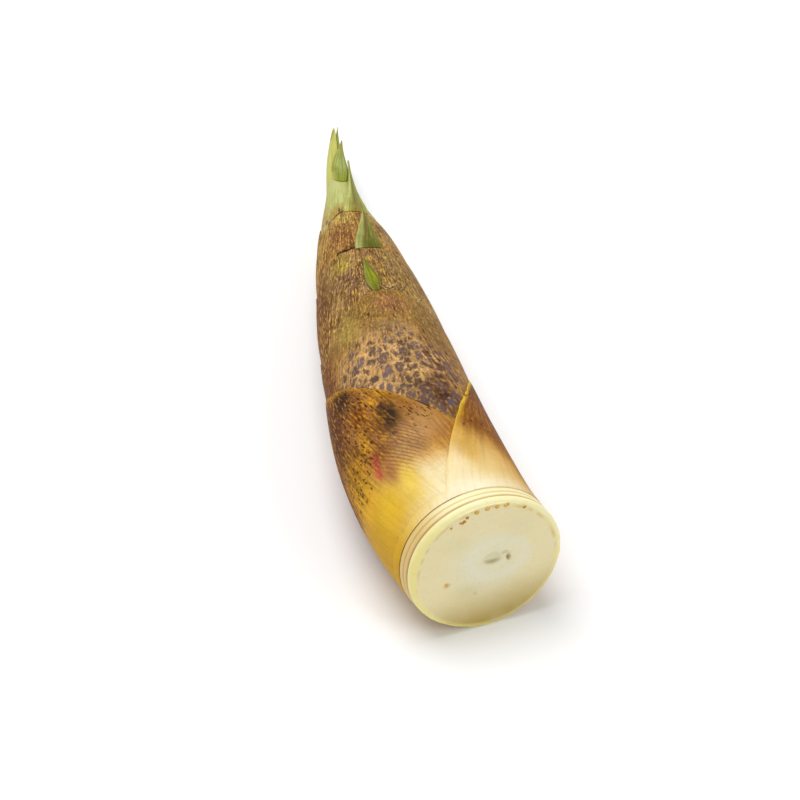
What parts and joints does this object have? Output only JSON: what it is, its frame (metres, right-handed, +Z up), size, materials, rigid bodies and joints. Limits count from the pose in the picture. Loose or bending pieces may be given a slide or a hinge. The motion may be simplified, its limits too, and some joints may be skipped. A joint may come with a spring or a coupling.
{
  "type": "bamboo shoot",
  "caption": "Fresh bamboo shoot lying on its side: a flat cut at the foot, overlapping mottled sheaths round a solid stem, and a green pointed tip.",
  "frame": {"origin": "on the surface that the shoot lies on, under the middle of its bounding box", "axes": "+Y along the shoot from the cut end to the tip, +X to the right, +Z up"},
  "size_m": [0.0681, 0.2869, 0.0583],
  "materials": {
    "flesh": "moist, smooth cut flesh, pale cream yellow",
    "sheath": "tough dry leaf, fine lengthwise veins, brown with dark blotches over cream yellow",
    "young_leaf": "tender leaf, pale yellow green, satin",
    "blade": "leaf blade, fresh green, satin"
  },
  "bodies": {
    "root": {"stem": "flesh", "sheath_1": "sheath", "sheath_2": "sheath", "sheath_3": "sheath", "sheath_4": "sheath", "sheath_5": "sheath", "sheath_6": "sheath", "sheath_7": "sheath", "sheath_8": "sheath", "sheath_9": "young_leaf", "tip_leaf_outer": "young_leaf", "tip_leaf_inner": "young_leaf", "blade_3": "blade", "blade_4": "blade", "blade_5": "blade", "blade_6": "blade", "blade_7": "blade", "blade_8": "blade", "blade_9": "blade"}
  },
  "joints": []
}
